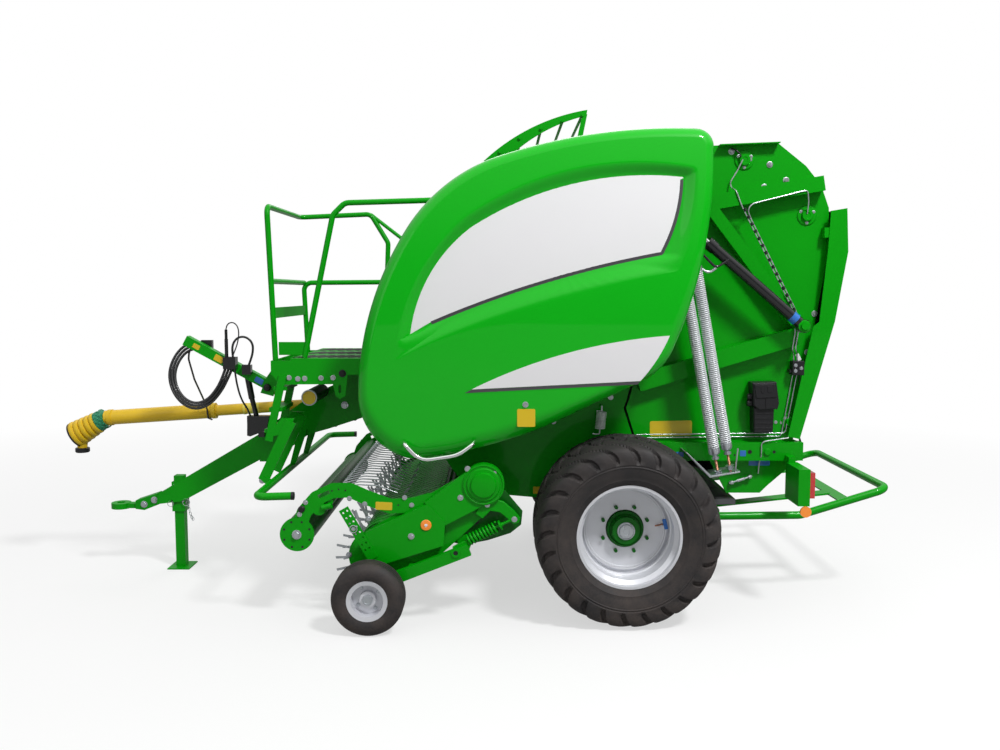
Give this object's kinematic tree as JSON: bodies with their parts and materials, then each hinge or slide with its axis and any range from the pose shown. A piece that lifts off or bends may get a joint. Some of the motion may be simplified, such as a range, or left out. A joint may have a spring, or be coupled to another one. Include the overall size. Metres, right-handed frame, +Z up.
{
  "type": "round baler",
  "caption": "Towed round baler with a drawbar, drive shaft, pickup, feed rotor, opening tailgate, lifting side covers, gauge wheels, wide flotation tyres and a bale ramp.",
  "frame": {"origin": "on the ground, midway between the drive shaft tip and the bale ramp rear bar, on the centre plane", "axes": "+X rearwards, +Y to the right-hand side of the machine, +Z up"},
  "size_m": [5.3799, 2.72, 2.996],
  "materials": {
    "amber_lens": "gloss",
    "belt_rubber": "matte",
    "black_plastic": "matte",
    "black_steel": "gloss",
    "cast_steel": "matte",
    "chrome_handle": "polished",
    "cover_panel": "gloss",
    "dark_green": "gloss",
    "dark_grey": "gloss",
    "galvanised": "satin",
    "green_paint": "gloss",
    "hose_rubber": "satin",
    "red_lens": "gloss",
    "silver_rim": "satin",
    "teal_collar": "matte",
    "tyre": "matte",
    "yellow_guard": "gloss"
  },
  "bodies": {
    "chassis": {"axle": "dark_green", "cable_drop": "hose_rubber", "cable_loop": "hose_rubber", "chassis_frame": "green_paint", "drawbar": "green_paint", "front_hood": "green_paint", "gearbox": "cast_steel", "handrails": "green_paint", "hitch_eye": "green_paint", "hose_arch": "hose_rubber", "hose_arm": "green_paint", "hose_fittings": "black_steel", "hose_loop_1": "hose_rubber", "hose_loop_2": "hose_rubber", "hose_loop_3": "hose_rubber", "platform_frame": "green_paint", "ramp_plate": "dark_grey", "roof_guard": "green_paint", "shaft_bell": "yellow_guard", "shaft_collar": "teal_collar", "shaft_guard": "yellow_guard", "shaft_yoke": "cast_steel", "step_frame": "green_paint"},
    "jack": {"jack_leg": "green_paint"},
    "tailgate": {"tailgate_frame": "green_paint", "tailgate_cover": "green_paint", "tailgate_rollers": "cast_steel", "bale_belts": "belt_rubber", "tension_springs": "galvanised", "oiler_box": "black_plastic", "grease_pipes": "galvanised", "lamp_brackets": "green_paint", "lamps": "red_lens", "side_reflectors": "amber_lens"},
    "ramp": {"bale_ramp": "green_paint"},
    "pickup": {"pickup_frame": "green_paint", "pickup_bands": "dark_green"},
    "reel": {"pickup_reel": "galvanised"},
    "crop_guard": {"crop_guard": "green_paint", "crop_rollers": "dark_green", "guide_rods": "galvanised"},
    "rotor": {"feed_rotor": "dark_green"},
    "cover_left": {"side_cover_left": "cover_panel", "cover_handle_left": "chrome_handle"},
    "barrel_left": {"cylinder_barrel_left": "black_steel"},
    "rod_left": {"cylinder_rod_left": "chrome_handle"},
    "wheel_left": {"tyre_left": "tyre", "rim_left": "silver_rim", "hub_left": "dark_green"},
    "gauge_wheel_left": {"gauge_tyre_left": "tyre", "gauge_rim_left": "silver_rim"},
    "cover_right": {"side_cover_right": "cover_panel", "cover_handle_right": "chrome_handle"},
    "barrel_right": {"cylinder_barrel_right": "black_steel"},
    "rod_right": {"cylinder_rod_right": "chrome_handle"},
    "wheel_right": {"tyre_right": "tyre", "rim_right": "silver_rim", "hub_right": "dark_green"},
    "gauge_wheel_right": {"gauge_tyre_right": "tyre", "gauge_rim_right": "silver_rim"}
  },
  "joints": [
    {"name": "wheel_spin_left", "type": "hinge", "parent": "chassis", "child": "wheel_left", "pos_m": [0.993, -1, 0.53], "axis": [0, 1, 0], "continuous": true},
    {"name": "wheel_spin_right", "type": "hinge", "parent": "chassis", "child": "wheel_right", "pos_m": [0.993, 1, 0.53], "axis": [0, 1, 0], "continuous": true},
    {"name": "pickup_lift", "type": "hinge", "parent": "chassis", "child": "pickup", "pos_m": [0.177, 0, 0.81], "axis": [0, 1, 0], "range_deg": [0, 12]},
    {"name": "gauge_spin_left", "type": "hinge", "parent": "pickup", "child": "gauge_wheel_left", "pos_m": [-0.461, -1.2775, 0.203], "axis": [0, 1, 0], "continuous": true},
    {"name": "gauge_spin_right", "type": "hinge", "parent": "pickup", "child": "gauge_wheel_right", "pos_m": [-0.461, 1.2775, 0.203], "axis": [0, 1, 0], "continuous": true},
    {"name": "reel_spin", "type": "hinge", "parent": "pickup", "child": "reel", "pos_m": [-0.45, 0, 0.385], "axis": [0, 1, 0], "continuous": true},
    {"name": "crop_guard_lift", "type": "hinge", "parent": "pickup", "child": "crop_guard", "pos_m": [-0.135, 0, 0.708], "axis": [0, 1, 0], "range_deg": [0, 10]},
    {"name": "rotor_spin", "type": "hinge", "parent": "chassis", "child": "rotor", "pos_m": [0.177, 0, 0.81], "axis": [0, 1, 0], "continuous": true},
    {"name": "cover_lift_left", "type": "hinge", "parent": "chassis", "child": "cover_left", "pos_m": [1, -0.698, 2.745], "axis": [-1, 0, 0], "range_deg": [0, 60]},
    {"name": "cover_lift_right", "type": "hinge", "parent": "chassis", "child": "cover_right", "pos_m": [1, 0.698, 2.745], "axis": [1, 0, 0], "range_deg": [0, 60]},
    {"name": "tailgate_lift", "type": "hinge", "parent": "chassis", "child": "tailgate", "pos_m": [1.465, 0, 2.69], "axis": [0, -1, 0], "range_deg": [0, 60]},
    {"name": "barrel_turn_left", "type": "hinge", "parent": "tailgate", "child": "barrel_left", "pos_m": [2.067, -0.8, 1.694], "axis": [0, -1, 0], "range_deg": [-3.28, 1]},
    {"name": "rod_slide_left", "type": "slide", "parent": "barrel_left", "child": "rod_left", "axis": [-0.7596, 0, 0.6504], "range_m": [0, 0.3902]},
    {"name": "barrel_turn_right", "type": "hinge", "parent": "tailgate", "child": "barrel_right", "pos_m": [2.067, 0.8, 1.694], "axis": [0, -1, 0], "range_deg": [-3.28, 1]},
    {"name": "rod_slide_right", "type": "slide", "parent": "barrel_right", "child": "rod_right", "axis": [-0.7596, 0, 0.6504], "range_m": [0, 0.3902]},
    {"name": "ramp_tilt", "type": "hinge", "parent": "chassis", "child": "ramp", "pos_m": [1.608, 0, 0.513], "axis": [0, 1, 0], "range_deg": [0, 18], "stiffness_Nm_per_rad": 900, "springref_deg": -34.38},
    {"name": "jack_slide", "type": "slide", "parent": "chassis", "child": "jack", "axis": [0, 0, 1], "range_m": [0, 0.25]}
  ],
  "couplings": [
    {"joint": "barrel_turn_left", "follows": "tailgate_lift", "ratio": -0.046349},
    {"joint": "rod_slide_left", "follows": "tailgate_lift", "m_per_rad": 0.36781},
    {"joint": "barrel_turn_right", "follows": "tailgate_lift", "ratio": -0.046349},
    {"joint": "rod_slide_right", "follows": "tailgate_lift", "m_per_rad": 0.36781}
  ]
}
